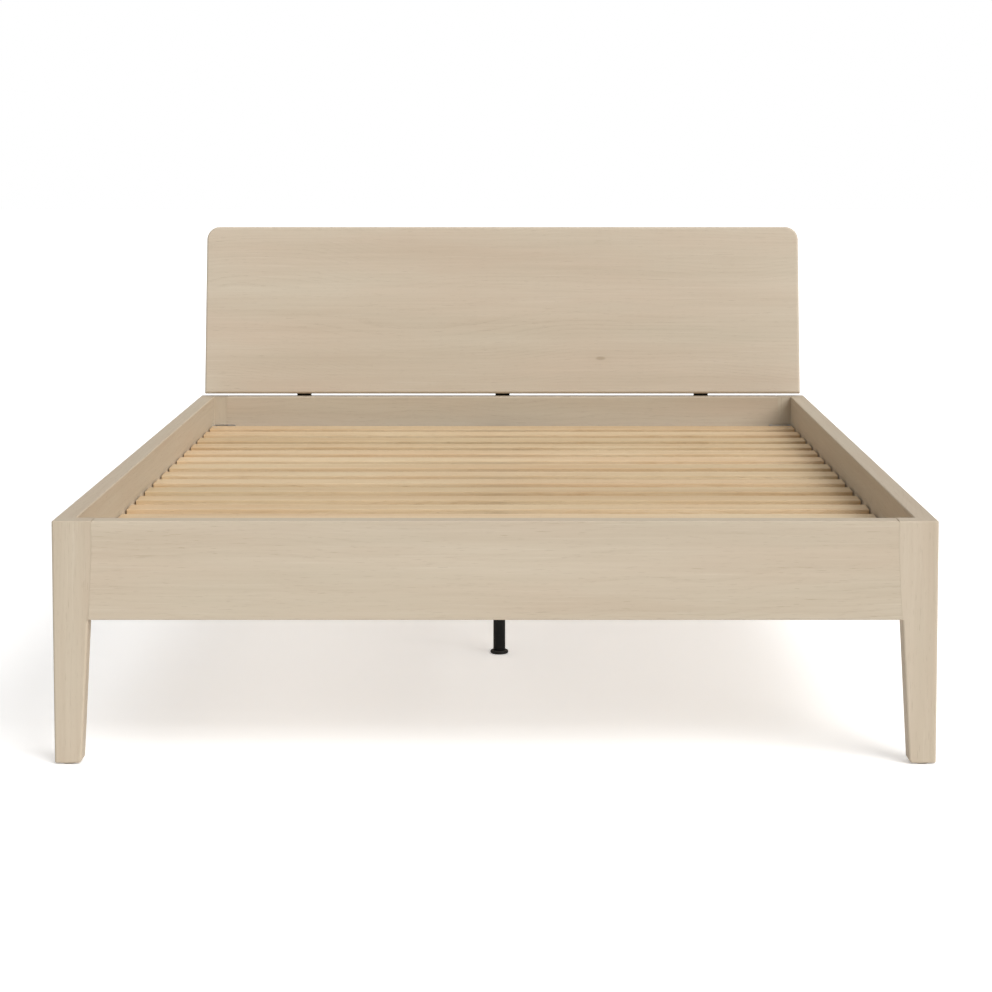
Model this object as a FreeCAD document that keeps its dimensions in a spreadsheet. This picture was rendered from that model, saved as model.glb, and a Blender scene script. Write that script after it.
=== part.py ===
import FreeCAD, Part
import math
import os
import re

import Sketcher

# Double bed frame in whitewashed oak for a 1600 x 2000 mm mattress.
# Millimetres. +X is the sleeper's right hand seen from the foot, the head end is at +Y, +Z is up.
# The origin lies on the floor, at the middle of the whole frame's outline.

Vector = FreeCAD.Vector
os.makedirs("parts", exist_ok=True)
doc = FreeCAD.newDocument("bed_frame")

# ---------------------------------------------------------------- driving dimensions

SIZES = {
    # outline of the frame
    "half_width": 850.0,          # outer face of the side rails and legs
    "foot_y": -1096.75,           # front face of the foot end
    "frame_length": 2110.0,       # foot face to the head rail's rear face
    "board_thickness": 40.0,      # legs and rails
    "rail_top": 474.0,
    "rail_bottom": 282.0,
    # legs
    "glide_height": 3.0,          # nylon glide under each leg
    "glide_radius": 15.0,
    "leg_top_width": 76.0,
    "leg_foot_width": 52.0,
    "leg_straight": 60.0,         # upright stretch below the top, before the taper
    "leg_toe_run": 3.5,           # cut at the inner bottom corner
    "leg_toe_rise": 6.0,
    "leg_round": 5.0,
    "toe_round": 2.0,
    "edge_round": 3.0,
    "joint_ease": 0.6,            # fine V where an end rail meets its leg
    # headboard
    "panel_width": 1675.0,
    "panel_height": 472.5,
    "panel_thickness": 28.0,
    "panel_base": 478.0,          # height of its lower rear edge
    "lean_angle": 10.3,
    "panel_corner": 36.0,
    "panel_round": 6.0,
    # headboard straps
    "strap_x": 560.0,
    "strap_width": 40.0,
    "strap_thickness": 5.0,
    "strap_foot": 349.0,          # lower end, on the head rail
    "strap_rise": 250.0,          # length up the panel
    "strap_corner": 8.0,
    # slats and what carries them
    "slat_top": 399.0,
    "slat_thickness": 18.0,
    "slat_width": 68.0,
    "slat_half_length": 806.0,
    "slat_inset": 132.0,          # first slat's centre from the foot face
    "slat_round": 3.0,
    "ledge_depth": 28.0,
    "ledge_height": 40.0,
    "ledge_inset": 96.0,
    "ledge_screw_inset": 80.0,    # from the ledge's end to its first screw
    "beam_width": 30.0,
    "beam_height": 60.0,
    "beam_wall": 2.0,
    "beam_gap": 4.5,              # from the end rail to the beam's end
    "hanger_plate": 4.0,
    "hanger_half_width": 45.0,
    "hanger_height": 76.0,
    "cradle_wall": 3.0,
    "cradle_reach": 45.0,
    "cradle_height": 42.0,
    "cradle_ease": 0.3,
    "hanger_lift": 2.0,           # hanger's top above the slats' underside
    # screw-adjusted support leg, at its longest
    "support_y": 955.0,           # centre line from the foot face
    "plate_half_length": 40.0,
    "plate_half_width": 20.0,
    "plate_thickness": 4.0,
    "plate_corner": 6.0,
    "plate_bolt_reach": 28.0,
    "stud_radius": 5.0,
    "stud_foot": 232.0,
    "tube_radius": 14.0,
    "tube_bore": 12.5,
    "tube_foot": 8.3,
    "tube_top": 272.0,
    "plug_foot": 244.0,
    "plug_flange": 3.0,
    "plug_bore": 5.05,
    "pad_radius": 21.0,
    "pad_height": 8.0,
    "pad_round": 3.5,
    "pad_spigot": 12.4,
    "pad_spigot_top": 38.0,
    # corner irons
    "iron_thickness": 4.0,
    "iron_foot": 300.0,
    "iron_height": 96.0,
    "iron_end_arm": 60.0,
    "iron_side_arm": 54.0,
    # webbing
    "webbing_x": 520.0,
    "webbing_width": 25.0,
    "webbing_thickness": 1.2,
    "webbing_tail": 23.8,         # past the first and last slats' centre lines
}

sheet = doc.addObject("Spreadsheet::Sheet", "Sizes")
for row, (alias, number) in enumerate(SIZES.items(), 1):
    sheet.set("A%d" % row, alias)
    sheet.set("B%d" % row, str(number))
    sheet.setAlias("B%d" % row, alias)
doc.recompute()


def full(expression):
    """Write every size's name in an expression as the sheet's own."""
    def own_name(word):
        return ("Sizes." if word.group() in SIZES else "") + word.group()

    return re.sub(r"[a-z_]+", own_name, expression)


def size(expression):
    """The value of an expression in the sheet's sizes."""
    value = sheet.evalExpression(full(expression))
    return float(getattr(value, "Value", value))


def bind(piece, **expressions):
    """Bind properties to the sheet; a double underscore stands for a dot."""
    for name, expression in expressions.items():
        piece.setExpression(name.replace("__", "."), full(expression))
    return piece


def place(piece, x, y, z):
    return bind(piece, Placement__Base__x=x, Placement__Base__y=y, Placement__Base__z=z)


# ---------------------------------------------------------------- ways of making a piece

PLANES = {"front": "XZ_Plane", "side": "YZ_Plane"}


def board(label, view, corners, depth, rounds, toward_foot=False):
    """A body padded from one outline; rounds are (radius, which edges) pairs, in turn.

    A front view is padded toward the head end unless told otherwise, a side view toward +X.
    """
    body = doc.addObject("PartDesign::Body", label)
    body.Label = label
    sketch = body.newObject("Sketcher::SketchObject", label + "_outline")
    plane = next(flat for flat in body.Origin.OriginFeatures if flat.Role == PLANES[view])
    sketch.AttachmentSupport = [(plane, "")]
    sketch.MapMode = "FlatFace"
    points = [Vector(size(across), size(up), 0) for across, up in corners]
    for number, start in enumerate(points):
        sketch.addGeometry(Part.LineSegment(start, points[(number + 1) % len(points)]), False)
    for number, corner in enumerate(corners):
        following = (number + 1) % len(points)
        sketch.addConstraint(Sketcher.Constraint("Coincident", number, 2, following, 1))
        for kind, expression in zip(("DistanceX", "DistanceY"), corner):
            tie = sketch.addConstraint(Sketcher.Constraint(kind, -1, 1, number, 1, size(expression)))
            sketch.setExpression("Constraints[%d]" % tie, full(expression))
    pad = body.newObject("PartDesign::Pad", label + "_pad")
    pad.Profile = sketch
    bind(pad, Length=depth)
    pad.Reversed = view == "front" and not toward_foot
    doc.recompute()
    last = pad
    for turn, (radius, wanted) in enumerate(rounds):
        edges = ["Edge%d" % (n + 1) for n, edge in enumerate(last.Shape.Edges) if wanted(edge)]
        rounding = body.newObject("PartDesign::Fillet", "%s_round_%d" % (label, turn + 1))
        rounding.Base = (last, edges)
        bind(rounding, Radius=radius)
        doc.recompute()
        last = rounding
    sketch.Visibility = False
    return body


def box(label, length, width, height):
    return bind(doc.addObject("Part::Box", label), Length=length, Width=width, Height=height)


def rod(label, radius, height):
    return bind(doc.addObject("Part::Cylinder", label), Radius=radius, Height=height)


def join(label, *pieces):
    whole = doc.addObject("Part::MultiFuse", label)
    whole.Shapes = list(pieces)
    whole.Refine = True
    return whole


def cut(label, base, tool):
    result = doc.addObject("Part::Cut", label)
    result.Base = base
    result.Tool = tool
    return result


def group(label, shapes):
    """Several separate solids of one kind, as one named piece."""
    feature = doc.addObject("Part::Feature", label)
    feature.Shape = Part.makeCompound(shapes)
    return feature


def facing(shape, point, direction):
    """Turn a shape's +Z to a direction and set its origin on a point."""
    turned = shape.copy()
    turned.Placement = FreeCAD.Placement(point, FreeCAD.Rotation(Vector(0, 0, 1), direction))
    return turned


def spans(edge, letter):
    """How far an edge runs along one axis."""
    return getattr(edge.BoundBox, letter + "Length")


def runs(edge, letter):
    """True where an edge runs along one axis and nowhere else."""
    return spans(edge, letter) > 0.9 * edge.Length


# ---------------------------------------------------------------- fasteners

CLEARANCE = 0.05
DRILL_REACH = 10.0    # how far a drill goes past the face that it starts from
DOWN = Vector(0, 0, -1)
UP = Vector(0, 0, 1)


def socket_bolt(shank_radius, shank_length, head_radius, head_height):
    """Button head bolt with a hexagon socket; the head's underside is at the origin."""
    head = Part.makeCylinder(head_radius, head_height)
    crown = [edge for edge in head.Edges if edge.BoundBox.ZMin > 0.9 * head_height]
    head = head.makeFillet(0.4 * head_height, crown)
    across = [Vector(math.cos(math.radians(60 * n)), math.sin(math.radians(60 * n)), 0) for n in range(7)]
    socket = Part.Face(Part.makePolygon([corner * (0.62 * shank_radius) for corner in across]))
    socket = socket.extrude(Vector(0, 0, head_height))
    socket.translate(Vector(0, 0, 0.45 * head_height))
    shank = Part.makeCylinder(shank_radius, shank_length, Vector(0, 0, -shank_length))
    return head.cut(socket).fuse(shank)


def wood_screw(shank_radius, length, head_radius):
    """Countersunk screw, its head flush with the origin's plane and a point at the end."""
    head_depth = head_radius - shank_radius
    head = Part.makeCone(shank_radius, head_radius, head_depth, Vector(0, 0, -head_depth))
    recess_depth = 0.8 * head_depth
    recess = Part.makeCone(0.1 * shank_radius, 0.8 * shank_radius, recess_depth, Vector(0, 0, -recess_depth))
    point = 2.5 * shank_radius
    shank = Part.makeCylinder(shank_radius, length - head_depth - point, Vector(0, 0, point - length))
    tip = Part.makeCone(0.2, shank_radius, point, Vector(0, 0, -length))
    return head.cut(recess).fuse([shank, tip])


def screw_hole(shank_radius, length, head_radius):
    """The room that a countersunk screw takes up."""
    head_depth = head_radius - shank_radius
    neck = shank_radius + CLEARANCE
    head = Part.makeCone(neck, head_radius + CLEARANCE, head_depth, Vector(0, 0, -head_depth))
    return head.fuse(hole(neck, length + 1))


def dowel(radius, length):
    peg = Part.makeCylinder(radius, length, Vector(0, 0, -length / 2))
    return peg.makeChamfer(1.0, [edge for edge in peg.Edges if edge.BoundBox.ZLength < 0.1])


def hole(radius, depth, lead=0.0):
    """A drill that goes down from the origin, and starts a lead above it."""
    return Part.makeCylinder(radius, lead + depth, Vector(0, 0, -depth))


def through_hole(radius):
    """A drill that passes both faces of a plate at the origin."""
    return hole(radius, DRILL_REACH, DRILL_REACH)


def threaded_insert(radius, bore, depth):
    return hole(radius, depth).cut(hole(bore, depth))


def tack(shank_radius, length, head_radius, head_height):
    head = Part.makeCylinder(head_radius, head_height)
    rim = [edge for edge in head.Edges if edge.BoundBox.ZMin > 0.9 * head_height]
    head = head.makeFillet(0.6 * head_height, rim)
    return head.fuse(hole(shank_radius, length))


# ---------------------------------------------------------------- where the fasteners go

foot_face = size("foot_y")
head_face = foot_face + size("frame_length")
thickness = size("board_thickness")
half_width = size("half_width")
rail_x = half_width - thickness
SIDES = {"left": -1, "right": 1}
ENDS = {"foot": foot_face, "head": head_face - thickness}
END_PLACES = {"foot": "foot_y", "head": "foot_y + frame_length - board_thickness"}
INWARD = {"foot": 1, "head": -1}
LONG_EDGE = 1400.0    # only the edges along a rail, ledge or slat are longer

end_dowel_radius = 6.0
end_dowel_length = 70.0
end_dowel_depth = 38.0
end_dowel_heights = (302.0, 352.0, 424.0)
side_dowel_radius = 5.0
side_dowel_length = 50.0
side_dowel_depth = 27.0
side_dowel_heights = (344.0, 444.0)
corner_bolt_heights = (328.0, 376.0)
corner_bolt_x = 792.0
insert_radius = 6.0
insert_depth = 18.0
insert_hole_depth = 22.0
bolt_radius = 4.0
bolt_reach = 20.0
bolt_head = (7.0, 4.4)
plate_bolt = (3.0, 12.0, 5.5, 3.3)
iron_screw_heights = (316.0, 380.0)
iron_screw_insets = (60.0, 80.0)
screw = (2.25, 28.0, 4.6)
ledge_screw = (2.25, 48.0, 4.6)
ledge_screws_each = 8
glide_nail_radius = 1.6
glide_nail_length = 16.0
tack_size = (0.8, 10.0, 3.0, 0.9)
end_dowel_drill = hole(end_dowel_radius + CLEARANCE, end_dowel_depth, DRILL_REACH)
side_dowel_drill = hole(side_dowel_radius + CLEARANCE, side_dowel_depth)
insert_drill = hole(insert_radius, insert_hole_depth)


def taper_x(height):
    """Inner face of a leg at a height, measured from the middle of the bed."""
    bend = size("rail_top - leg_straight")
    slope = size("(leg_top_width - leg_foot_width) / (rail_top - leg_straight)")
    return half_width - size("leg_top_width") + slope * max(0.0, bend - height)


def mid_y(end):
    return ENDS[end] + thickness / 2


def inner_y(end):
    """The face of an end rail that looks into the bed."""
    return ENDS[end] + (thickness if end == "foot" else 0.0)


panel_place = FreeCAD.Placement(
    Vector(0, head_face, size("panel_base")), FreeCAD.Rotation(Vector(-1, 0, 0), size("lean_angle")))
panel_out = panel_place.Rotation.multVec(Vector(0, 1, 0))
HEADBOARD_STRAPS = {"left": -size("strap_x"), "middle": 0.0, "right": size("strap_x")}
strap_rail_heights = (374.0, 434.0)
strap_panel_heights = (120.0, 225.0)

slat_count = 16
slat_step = size("(frame_length - 2 * slat_inset)") / (slat_count - 1)
slat_ys = [foot_face + size("slat_inset") + number * slat_step for number in range(slat_count)]
ledge_screw_start = foot_face + size("ledge_inset + ledge_screw_inset")
ledge_screw_step = size("frame_length - 2 * (ledge_inset + ledge_screw_inset)") / (ledge_screws_each - 1)
ledge_screw_ys = [ledge_screw_start + number * ledge_screw_step for number in range(ledge_screws_each)]
slat_bottom = size("slat_top - slat_thickness")
hanger_bolt_x = 33.0
hanger_bolt_heights = (326.0, 372.0)
slat_screw_x = 795.0

# ---------------------------------------------------------------- legs

leg_bend = "(rail_top - leg_straight)"
leg_taper = "((leg_top_width - leg_foot_width) / (rail_top - leg_straight))"
leg_at_rail = "(half_width - leg_top_width + " + leg_taper + " * (" + leg_bend + " - rail_bottom))"
leg_at_toe = "(half_width - leg_foot_width - " + leg_taper + " * (glide_height + leg_toe_rise))"
for end in ENDS:
    for side, sign in SIDES.items():
        name = "leg_%s_%s" % (end, side)
        outer_face = sign * half_width
        show_face = 0.0 if end == "foot" else thickness
        lower = board(name + "_lower", "front", [
            ("%d * half_width" % sign, "glide_height"),
            ("%d * half_width" % sign, "rail_bottom"),
            ("%d * %s" % (sign, leg_at_rail), "rail_bottom"),
            ("%d * %s" % (sign, leg_at_toe), "glide_height + leg_toe_rise"),
            ("%d * (half_width - leg_foot_width + leg_toe_run)" % sign, "glide_height"),
        ], "board_thickness", [
            ("leg_round", lambda edge: spans(edge, "Z") > 0.5 * size("leg_toe_rise")),
            ("toe_round", lambda edge: edge.BoundBox.ZMax < size("glide_height") + 0.1),
        ])
        upper = board(name + "_upper", "front", [
            ("%d * half_width" % sign, "rail_bottom"),
            ("%d * half_width" % sign, "rail_top"),
            ("%d * (half_width - leg_top_width)" % sign, "rail_top"),
            ("%d * (half_width - leg_top_width)" % sign, leg_bend),
            ("%d * %s" % (sign, leg_at_rail), "rail_bottom"),
        ], "board_thickness", [
            ("leg_round", lambda edge: spans(edge, "Z") > size("rail_top - rail_bottom") - 1
             and abs(edge.BoundBox.XMin - outer_face) < 1 and abs(edge.BoundBox.YMin - show_face) < 1),
            ("edge_round", lambda edge: edge.BoundBox.ZMin > size("rail_top") - 0.1 and (
                abs(edge.BoundBox.XMin - outer_face) < 1 and abs(edge.BoundBox.XMax - outer_face) < 1
                or runs(edge, "X") and abs(edge.BoundBox.YMin - show_face) < 1)),
        ])
        for half in (lower, upper):
            place(half, "0", END_PLACES[end], "0")
        blank = join(name + "_blank", upper, lower)
        inward = Vector(0, INWARD[end], 0)
        bores = []
        for height in end_dowel_heights:
            mouth = Vector(sign * taper_x(height), mid_y(end), height)
            bores.append(facing(end_dowel_drill, mouth, Vector(-sign, 0, 0)))
        for height in side_dowel_heights:
            mouth = Vector(sign * (half_width - thickness / 2), inner_y(end), height)
            bores.append(facing(side_dowel_drill, mouth, inward))
        for height in corner_bolt_heights:
            mouth = Vector(sign * corner_bolt_x, inner_y(end), height)
            bores.append(facing(insert_drill, mouth, inward))
        sole = Vector(sign * (half_width - size("leg_foot_width") / 2), mid_y(end), size("glide_height"))
        bores.append(facing(hole(glide_nail_radius + CLEARANCE, glide_nail_length + 1), sole, DOWN))
        cut(name, blank, group(name + "_bores", bores))

# ---------------------------------------------------------------- end rails

half_rail_top = "(half_width - leg_top_width)"
for end in ENDS:
    name = end + "_rail"
    blank = board(name + "_blank", "front", [
        ("-" + half_rail_top, "rail_top"),
        (half_rail_top, "rail_top"),
        (half_rail_top, leg_bend),
        (leg_at_rail, "rail_bottom"),
        ("-" + leg_at_rail, "rail_bottom"),
        ("-" + half_rail_top, leg_bend),
    ], "board_thickness", [
        ("joint_ease", lambda edge: edge.Length < LONG_EDGE and not runs(edge, "Y")),
        ("edge_round", lambda edge: edge.Length > LONG_EDGE),
    ])
    place(blank, "0", END_PLACES[end], "0")
    bores = []
    for sign in SIDES.values():
        for height in end_dowel_heights:
            mouth = Vector(sign * taper_x(height), mid_y(end), height)
            bores.append(facing(end_dowel_drill, mouth, Vector(sign, 0, 0)))
    for x in (-hanger_bolt_x, hanger_bolt_x):
        for height in hanger_bolt_heights:
            mouth = Vector(x, inner_y(end) + INWARD[end] * size("hanger_plate"), height)
            bores.append(facing(screw_hole(*screw), mouth, Vector(0, INWARD[end], 0)))
    if end == "head":
        for x in HEADBOARD_STRAPS.values():
            for height in strap_rail_heights:
                mouth = Vector(x, head_face, height)
                bores.append(facing(insert_drill, mouth, Vector(0, 1, 0)))
    cut(name, blank, group(name + "_bores", bores))

# ---------------------------------------------------------------- side rails and their ledges

for side, sign in SIDES.items():
    name = side + "_side_rail"
    near, far = ("half_width - board_thickness", "half_width") if sign > 0 else (
        "-half_width", "board_thickness - half_width")
    blank = board(name + "_blank", "front", [
        (near, "rail_bottom"),
        (near, "rail_top"),
        (far, "rail_top"),
        (far, "rail_bottom"),
    ], "frame_length - 2 * board_thickness", [
        ("edge_round", lambda edge: edge.Length > LONG_EDGE),
    ])
    place(blank, "0", "foot_y + board_thickness", "0")
    bores = []
    for end in ENDS:
        inward = INWARD[end]
        for height in side_dowel_heights:
            mouth = Vector(sign * (half_width - thickness / 2), inner_y(end), height)
            bores.append(facing(side_dowel_drill, mouth, Vector(0, -inward, 0)))
        for inset in iron_screw_insets:
            for height in iron_screw_heights:
                mouth = Vector(sign * (rail_x - size("iron_thickness")),
                               ENDS[end] + (inset if end == "foot" else thickness - inset), height)
                bores.append(facing(screw_hole(*screw), mouth, Vector(-sign, 0, 0)))
    ledge_bores = []
    for y in ledge_screw_ys:
        mouth = Vector(sign * (rail_x - size("ledge_depth")), y, slat_bottom - size("ledge_height") / 2)
        ledge_bores.append(facing(screw_hole(*ledge_screw), mouth, Vector(-sign, 0, 0)))
    cut(name, blank, group(name + "_bores", bores + ledge_bores))

    name = side + "_slat_ledge"
    inner, outer = "half_width - board_thickness - ledge_depth", "half_width - board_thickness"
    blank = board(name + "_blank", "front", [
        ("%d * (%s)" % (sign, inner), "slat_top - slat_thickness - ledge_height"),
        ("%d * (%s)" % (sign, inner), "slat_top - slat_thickness"),
        ("%d * (%s)" % (sign, outer), "slat_top - slat_thickness"),
        ("%d * (%s)" % (sign, outer), "slat_top - slat_thickness - ledge_height"),
    ], "frame_length - 2 * ledge_inset", [
        ("edge_round", lambda edge: edge.Length > LONG_EDGE and abs(edge.BoundBox.XMin) < rail_x - 1
         and edge.BoundBox.ZMax < slat_bottom - 1),
    ])
    place(blank, "0", "foot_y + ledge_inset", "0")
    for y in (slat_ys[0], slat_ys[-1]):
        mouth = Vector(sign * slat_screw_x, y, size("slat_top"))
        ledge_bores.append(facing(screw_hole(*screw), mouth, UP))
    cut(name, blank, group(name + "_bores", ledge_bores))

# ---------------------------------------------------------------- corner irons

for end in ENDS:
    for side, sign in SIDES.items():
        name = "corner_iron_%s_%s" % (end, side)
        arm_end = box(name + "_end_arm", "iron_end_arm", "iron_thickness", "iron_height")
        arm_side = box(name + "_side_arm", "iron_thickness", "iron_side_arm", "iron_height")
        inner_edge = "(half_width - board_thickness)"
        end_x = inner_edge + " - iron_end_arm" if sign > 0 else "-" + inner_edge
        side_x = inner_edge + " - iron_thickness" if sign > 0 else "-" + inner_edge
        if end == "foot":
            place(arm_end, end_x, "foot_y + board_thickness", "iron_foot")
            place(arm_side, side_x, "foot_y + board_thickness", "iron_foot")
        else:
            place(arm_end, end_x, "foot_y + frame_length - board_thickness - iron_thickness", "iron_foot")
            place(arm_side, side_x, "foot_y + frame_length - board_thickness - iron_side_arm", "iron_foot")
        bores = []
        for height in corner_bolt_heights:
            mouth = Vector(sign * corner_bolt_x, inner_y(end), height)
            bores.append(facing(through_hole(bolt_radius + CLEARANCE), mouth, Vector(0, INWARD[end], 0)))
        for inset in iron_screw_insets:
            for height in iron_screw_heights:
                mouth = Vector(sign * (rail_x - size("iron_thickness")),
                               ENDS[end] + (inset if end == "foot" else thickness - inset), height)
                bores.append(facing(screw_hole(*screw), mouth, Vector(-sign, 0, 0)))
        cut(name, join(name + "_blank", arm_end, arm_side), group(name + "_bores", bores))

# ---------------------------------------------------------------- headboard and its straps

blank = board("headboard_blank", "front", [
    ("-panel_width / 2", "0"),
    ("-panel_width / 2", "panel_height"),
    ("panel_width / 2", "panel_height"),
    ("panel_width / 2", "0"),
], "panel_thickness", [
    ("panel_corner", lambda edge: runs(edge, "Y") and edge.BoundBox.ZMin > 1),
    ("panel_round", lambda edge: spans(edge, "Y") < 0.1),
], toward_foot=True)
blank.Placement = panel_place
place(blank, "0", "foot_y + frame_length", "panel_base")
panel_mouths = [panel_place.multVec(Vector(x, 0, rise)) for x in HEADBOARD_STRAPS.values()
                for rise in strap_panel_heights]
cut("headboard", blank, group("headboard_bores", [
    facing(insert_drill, mouth, panel_out) for mouth in panel_mouths]))

for side, x in HEADBOARD_STRAPS.items():
    name = "headboard_strap_" + side
    blank = board(name + "_blank", "side", [
        ("0", "strap_foot"),
        ("strap_thickness", "strap_foot"),
        ("strap_thickness", "panel_base - strap_thickness * tan(lean_angle / 2)"),
        ("strap_rise * sin(lean_angle) + strap_thickness * cos(lean_angle)",
         "panel_base + strap_rise * cos(lean_angle) - strap_thickness * sin(lean_angle)"),
        ("strap_rise * sin(lean_angle)", "panel_base + strap_rise * cos(lean_angle)"),
        ("0", "panel_base"),
    ], "strap_width", [
        ("strap_corner", lambda edge: abs(edge.Length - size("strap_thickness")) < 0.1
         and spans(edge, "X") < 0.1),
    ])
    place(blank, "%f - strap_width / 2" % x, "foot_y + frame_length", "0")
    bores = [facing(through_hole(bolt_radius + CLEARANCE), Vector(x, head_face, height), Vector(0, 1, 0))
             for height in strap_rail_heights]
    for rise in strap_panel_heights:
        mouth = panel_place.multVec(Vector(x, 0, rise))
        bores.append(facing(through_hole(bolt_radius + CLEARANCE), mouth, panel_out))
    cut(name, blank, group(name + "_bores", bores))

# ---------------------------------------------------------------- centre beam and its hangers

beam_length = "frame_length - 2 * board_thickness - 2 * beam_gap"
beam_outer = box("beam_outer", "beam_width", beam_length, "beam_height")
place(beam_outer, "-beam_width / 2", "foot_y + board_thickness + beam_gap",
      "slat_top - slat_thickness - beam_height")
beam_inner = box("beam_inner", "beam_width - 2 * beam_wall", "frame_length",
                 "beam_height - 2 * beam_wall")
place(beam_inner, "beam_wall - beam_width / 2", "foot_y",
      "slat_top - slat_thickness - beam_height + beam_wall")
beam_under = size("slat_top - slat_thickness - beam_height")
support_y = size("foot_y + support_y")
plate_mouths = [Vector(0, support_y + reach, beam_under - size("plate_thickness"))
                for reach in (-size("plate_bolt_reach"), size("plate_bolt_reach"))]
plate_bores = [facing(hole(plate_bolt[0] + CLEARANCE, plate_bolt[1]), mouth, DOWN)
               for mouth in plate_mouths]
cut("centre_beam", cut("beam_tube", beam_outer, beam_inner), group("beam_bores", plate_bores))

for end in ENDS:
    name = "beam_hanger_" + end
    reach = "(hanger_plate + cradle_reach)"
    cradle_half = "(beam_width / 2 + cradle_ease + cradle_wall)"
    floor_z = "slat_top - slat_thickness - beam_height - cradle_wall"
    wall_y = "foot_y + board_thickness" if end == "foot" else "foot_y + frame_length - board_thickness - "
    plate = box(name + "_plate", "2 * hanger_half_width", "hanger_plate", "hanger_height")
    cradle = box(name + "_cradle", "2 * " + cradle_half, reach, "cradle_height")
    hollow = box(name + "_hollow", "beam_width + 2 * cradle_ease", reach, "beam_height")
    hanger_z = "slat_top - slat_thickness - hanger_height + hanger_lift"
    if end == "foot":
        place(plate, "-hanger_half_width", wall_y, hanger_z)
        place(cradle, "-" + cradle_half, wall_y, floor_z)
        place(hollow, "-beam_width / 2 - cradle_ease", wall_y + " + hanger_plate", floor_z + " + cradle_wall")
    else:
        place(plate, "-hanger_half_width", wall_y + "hanger_plate", hanger_z)
        place(cradle, "-" + cradle_half, wall_y + reach, floor_z)
        place(hollow, "-beam_width / 2 - cradle_ease", wall_y + reach + " - hanger_plate",
              floor_z + " + cradle_wall")
    bores = []
    for x in (-hanger_bolt_x, hanger_bolt_x):
        for height in hanger_bolt_heights:
            mouth = Vector(x, inner_y(end) + INWARD[end] * size("hanger_plate"), height)
            bores.append(facing(screw_hole(*screw), mouth, Vector(0, INWARD[end], 0)))
    body = cut(name + "_body", join(name + "_blank", plate, cradle), hollow)
    cut(name, body, group(name + "_bores", bores))

# ---------------------------------------------------------------- support leg under the beam

plate = box("plate_blank", "2 * plate_half_width", "2 * plate_half_length", "plate_thickness")
place(plate, "-plate_half_width", "foot_y + support_y - plate_half_length",
      "slat_top - slat_thickness - beam_height - plate_thickness")
plate_rim = doc.addObject("Part::Fillet", "plate_rim")
doc.recompute()
plate_rim.Base = plate
plate_rim.Edges = [(number + 1, size("plate_corner"), size("plate_corner"))
                   for number, edge in enumerate(plate.Shape.Edges) if runs(edge, "Z")]
stud_bore = through_hole(size("stud_radius") + CLEARANCE)
cut("support_plate", plate_rim, group("plate_bores", plate_bores + [
    facing(stud_bore, Vector(0, support_y, beam_under), UP)]))

stud = rod("support_stud", "stud_radius", "slat_top - slat_thickness - beam_height - stud_foot")
place(stud, "0", "foot_y + support_y", "stud_foot")

tube_outer = rod("tube_outer", "tube_radius", "tube_top - tube_foot")
tube_inner = rod("tube_inner", "tube_bore", "tube_top - tube_foot")
for part in (tube_outer, tube_inner):
    place(part, "0", "foot_y + support_y", "tube_foot")
cut("support_tube", tube_outer, tube_inner)

plug_body = rod("plug_body", "tube_bore", "tube_top - plug_foot")
place(plug_body, "0", "foot_y + support_y", "plug_foot")
plug_head = rod("plug_head", "tube_radius", "plug_flange")
place(plug_head, "0", "foot_y + support_y", "tube_top")
plug_thread = rod("plug_thread", "plug_bore", "tube_top - plug_foot + plug_flange")
place(plug_thread, "0", "foot_y + support_y", "plug_foot")
cut("tube_thread_plug", join("plug_blank", plug_body, plug_head), plug_thread)

pad_disc = rod("pad_disc", "pad_radius", "pad_height")
place(pad_disc, "0", "foot_y + support_y", "0")
doc.recompute()
pad_rim = doc.addObject("Part::Fillet", "pad_rim")
pad_rim.Base = pad_disc
pad_rim.Edges = [(number + 1, size("pad_round"), size("pad_round"))
                 for number, edge in enumerate(pad_disc.Shape.Edges) if spans(edge, "Z") < 0.1]
pad_pin = rod("pad_pin", "pad_spigot", "pad_spigot_top - pad_height / 2")
place(pad_pin, "0", "foot_y + support_y", "pad_height / 2")
join("support_foot_pad", pad_rim, pad_pin)

# ---------------------------------------------------------------- glides under the legs

for end in ENDS:
    for side, sign in SIDES.items():
        name = "glide_%s_%s" % (end, side)
        disc = rod(name + "_disc", "glide_radius", "glide_height")
        nail = rod(name + "_nail", "%f" % glide_nail_radius, "glide_height + %f" % glide_nail_length)
        for part in (disc, nail):
            place(part, "%d * (half_width - leg_foot_width / 2)" % sign,
                  END_PLACES[end] + " + board_thickness / 2", "0")
        join(name, disc, nail)

# ---------------------------------------------------------------- slats and the webbing under them

webbing_xs = {"left": -size("webbing_x"), "right": size("webbing_x")}
webbing_under = slat_bottom - size("webbing_thickness")
for number, y in enumerate(slat_ys):
    name = "slat_%02d" % (number + 1)
    blank = board(name + "_blank", "side", [
        ("-slat_width / 2", "slat_top - slat_thickness"),
        ("slat_width / 2", "slat_top - slat_thickness"),
        ("slat_width / 2", "slat_top"),
        ("-slat_width / 2", "slat_top"),
    ], "2 * slat_half_length", [
        ("slat_round", lambda edge: edge.Length > LONG_EDGE),
    ])
    place(blank, "-slat_half_length",
          "foot_y + slat_inset + %d * (frame_length - 2 * slat_inset) / %d" % (number, slat_count - 1), "0")
    bores = [facing(hole(tack_size[0] + CLEARANCE, tack_size[1] + 1), Vector(x, y, webbing_under), DOWN)
             for x in webbing_xs.values()]
    if number in (0, slat_count - 1):
        for sign in SIDES.values():
            mouth = Vector(sign * slat_screw_x, y, size("slat_top"))
            bores.append(facing(screw_hole(*screw), mouth, UP))
    cut(name, blank, group(name + "_bores", bores))

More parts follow.
